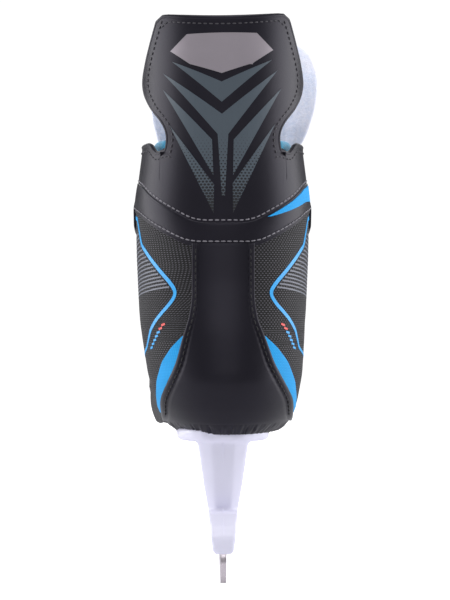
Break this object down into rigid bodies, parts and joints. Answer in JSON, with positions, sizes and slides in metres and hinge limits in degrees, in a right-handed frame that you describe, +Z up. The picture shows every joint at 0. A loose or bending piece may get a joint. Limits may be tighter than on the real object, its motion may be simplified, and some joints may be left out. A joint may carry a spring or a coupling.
{
  "type": "ice hockey skate",
  "caption": "Right-foot ice hockey skate: padded lace-up boot with flexing tendon guard and tongue, on a plastic blade holder with steel runner.",
  "frame": {"origin": "centre of the skate's overall box, on the ice under the runner", "axes": "+Z up, +Y towards the toe, +X towards the outer side of the right foot"},
  "size_m": [0.0997, 0.3048, 0.2962],
  "materials": {
    "holder_plastic": "moulded white plastic, slightly glossy",
    "runner_steel": "ground stainless steel",
    "hardware_steel": "zinc plated steel",
    "sole_plate": "rigid composite",
    "board": "lasting board",
    "footbed_foam": "foam covered in blue knit",
    "pu_black": "black coated synthetic leather, fine grain",
    "mesh_black": "black knit mesh",
    "mesh_blue": "bright blue mesh",
    "print_blue": "bright blue film",
    "shell": "moulded fibre shell",
    "foam": "memory foam",
    "lining_blue": "bright blue brushed fleece",
    "felt_white": "white felt with a blue cast",
    "tongue_cover": "white padded felt",
    "facing_pu": "black synthetic leather",
    "eyelet_metal": "dark painted metal",
    "cap_plastic": "moulded toe cap",
    "rand_rubber": "rubber rand",
    "lace_cotton": "white braided lace",
    "emblem_silver": "raised silver bar"
  },
  "bodies": {
    "boot": {"holder": "holder_plastic", "runner": "runner_steel", "anchor_studs": "hardware_steel", "anchor_pins": "hardware_steel", "anchor_nuts": "hardware_steel", "rivets_heel": "hardware_steel", "rivets_ball": "hardware_steel", "outsole": "sole_plate", "lasting_board": "board", "footbed": "footbed_foam", "heel_counter": "pu_black", "ankle_band": "pu_black", "cuff": "pu_black", "overlay_left": "pu_black", "overlay_right": "pu_black", "heel_flash_left": "mesh_blue", "heel_flash_right": "mesh_blue", "quarter_left": "mesh_black", "quarter_right": "mesh_black", "shell_left": "shell", "shell_right": "shell", "ankle_foam_left": "foam", "ankle_foam_right": "foam", "lining": "lining_blue", "cuff_wedge": "print_blue", "facing_left": "facing_pu", "facing_right": "facing_pu", "eyelets_left": "eyelet_metal", "eyelets_right": "eyelet_metal", "toe_cap": "cap_plastic", "toe_rand": "rand_rubber", "tongue_base": "tongue_cover", "lace": "lace_cotton"},
    "guard": {"tendon_guard": "pu_black", "guard_pad": "lining_blue", "guard_emblem": "emblem_silver"},
    "tongue": {"tongue_upper": "tongue_cover", "tongue_felt": "felt_white"}
  },
  "joints": [
    {"name": "guard_flex", "type": "hinge", "parent": "boot", "child": "guard", "pos_m": [0, -0.1405, 0.22], "axis": [1, 0, 0], "range_deg": [-5, 30], "stiffness_Nm_per_rad": 1.5},
    {"name": "tongue_flex", "type": "hinge", "parent": "boot", "child": "tongue", "pos_m": [0, -0.0212, 0.2213], "axis": [-1, 0, 0], "range_deg": [-4, 55], "stiffness_Nm_per_rad": 1.2}
  ]
}
